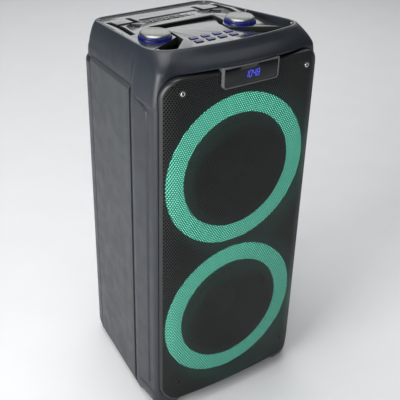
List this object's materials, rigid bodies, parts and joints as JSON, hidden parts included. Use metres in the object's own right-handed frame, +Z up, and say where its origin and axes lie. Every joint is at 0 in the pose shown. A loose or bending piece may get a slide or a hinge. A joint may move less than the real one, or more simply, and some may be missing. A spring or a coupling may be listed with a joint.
{
  "type": "party speaker",
  "caption": "Upright party speaker with two woofers behind one perforated grille, light rings, and a recessed control deck with turning knobs and push buttons.",
  "frame": {"origin": "on the floor under the middle of the body's bounding box", "axes": "+Z up, the grille and display face -Y, +X is to the right of someone facing the grille"},
  "size_m": [0.307, 0.32, 0.684],
  "materials": {
    "shell": "satin dark charcoal moulding",
    "side": "satin mid grey, fine grain",
    "grille": "satin black perforated steel",
    "baffle": "matt black",
    "screw": "bright zinc",
    "bezel": "grey trim",
    "window": "smoked black window",
    "display": "lit digits",
    "ring": "milky lens lit from behind",
    "board": "circuit board",
    "driver_frame": "black coated steel",
    "magnet": "dark ferrite and steel",
    "surround": "matt rubber roll",
    "cone": "pressed paper",
    "deck": "gloss black",
    "button": "backlit keycap",
    "knob": "spun top",
    "knob_light": "clear ring lit blue",
    "shaft": "plain",
    "socket": "black",
    "usb": "nickel shell",
    "amp": "black anodised",
    "switch": "red rocker",
    "foot": "matt rubber"
  },
  "bodies": {
    "enclosure": {"cabinet": "shell", "rear_cover": "shell", "front_frame": "shell", "top_shell": "shell", "side_panel_left": "side", "side_panel_right": "side", "baffle": "baffle", "grille": "grille", "grille_screw_1": "screw", "grille_screw_2": "screw", "grille_screw_3": "screw", "grille_screw_4": "screw", "display_bezel": "bezel", "display_window": "window", "display_module": "display", "ring_lens_upper": "ring", "ring_board_upper": "board", "woofer_frame_upper": "driver_frame", "woofer_magnet_upper": "magnet", "woofer_surround_upper": "surround", "ring_lens_lower": "ring", "ring_board_lower": "board", "woofer_frame_lower": "driver_frame", "woofer_magnet_lower": "magnet", "woofer_surround_lower": "surround", "deck_tray": "baffle", "control_deck": "deck", "control_panel": "deck", "knob_ring_left": "knob_light", "encoder_left": "shaft", "knob_ring_right": "knob_light", "encoder_right": "shaft", "jack_mic": "socket", "jack_guitar": "socket", "jack_aux": "socket", "usb_port": "usb", "amp_plate": "amp", "mains_inlet": "socket", "reflex_port": "baffle", "foot_1": "foot", "foot_2": "foot", "foot_3": "foot", "foot_4": "foot"},
    "knob_left_turning": {"knob_left": "knob", "knob_shaft_left": "shaft"},
    "knob_right_turning": {"knob_right": "knob", "knob_shaft_right": "shaft"},
    "button_1_key": {"button_1": "button"},
    "button_2_key": {"button_2": "button"},
    "button_3_key": {"button_3": "button"},
    "button_4_key": {"button_4": "button"},
    "button_5_key": {"button_5": "button"},
    "button_6_key": {"button_6": "button"},
    "button_7_key": {"button_7": "button"},
    "button_8_key": {"button_8": "button"},
    "cone_upper_moving": {"woofer_cone_upper": "cone", "dust_cap_upper": "cone"},
    "cone_lower_moving": {"woofer_cone_lower": "cone", "dust_cap_lower": "cone"},
    "power_rocker": {"power_switch": "switch"}
  },
  "joints": [
    {"name": "knob_left_turn", "type": "hinge", "parent": "enclosure", "child": "knob_left_turning", "pos_m": [-0.081, -0.014, 0.665], "axis": [0, 0, 1], "continuous": true},
    {"name": "knob_right_turn", "type": "hinge", "parent": "enclosure", "child": "knob_right_turning", "pos_m": [0.081, -0.014, 0.665], "axis": [0, 0, 1], "continuous": true},
    {"name": "button_1_press", "type": "slide", "parent": "enclosure", "child": "button_1_key", "axis": [0, 0, -1], "range_m": [0, 0.0012], "stiffness_N_per_m": 350, "springref_m": -0.0012},
    {"name": "button_2_press", "type": "slide", "parent": "enclosure", "child": "button_2_key", "axis": [0, 0, -1], "range_m": [0, 0.0012], "stiffness_N_per_m": 350, "springref_m": -0.0012},
    {"name": "button_3_press", "type": "slide", "parent": "enclosure", "child": "button_3_key", "axis": [0, 0, -1], "range_m": [0, 0.0012], "stiffness_N_per_m": 350, "springref_m": -0.0012},
    {"name": "button_4_press", "type": "slide", "parent": "enclosure", "child": "button_4_key", "axis": [0, 0, -1], "range_m": [0, 0.0012], "stiffness_N_per_m": 350, "springref_m": -0.0012},
    {"name": "button_5_press", "type": "slide", "parent": "enclosure", "child": "button_5_key", "axis": [0, 0, -1], "range_m": [0, 0.0012], "stiffness_N_per_m": 350, "springref_m": -0.0012},
    {"name": "button_6_press", "type": "slide", "parent": "enclosure", "child": "button_6_key", "axis": [0, 0, -1], "range_m": [0, 0.0012], "stiffness_N_per_m": 350, "springref_m": -0.0012},
    {"name": "button_7_press", "type": "slide", "parent": "enclosure", "child": "button_7_key", "axis": [0, 0, -1], "range_m": [0, 0.0012], "stiffness_N_per_m": 350, "springref_m": -0.0012},
    {"name": "button_8_press", "type": "slide", "parent": "enclosure", "child": "button_8_key", "axis": [0, 0, -1], "range_m": [0, 0.0012], "stiffness_N_per_m": 350, "springref_m": -0.0012},
    {"name": "cone_upper_travel", "type": "slide", "parent": "enclosure", "child": "cone_upper_moving", "axis": [0, -1, 0], "range_m": [-0.005, 0.005], "stiffness_N_per_m": 3500},
    {"name": "cone_lower_travel", "type": "slide", "parent": "enclosure", "child": "cone_lower_moving", "axis": [0, -1, 0], "range_m": [-0.005, 0.005], "stiffness_N_per_m": 3500},
    {"name": "power_switch_rock", "type": "hinge", "parent": "enclosure", "child": "power_rocker", "pos_m": [-0.038, 0.149, 0.095], "axis": [1, 0, 0], "range_deg": [0, 20]}
  ]
}
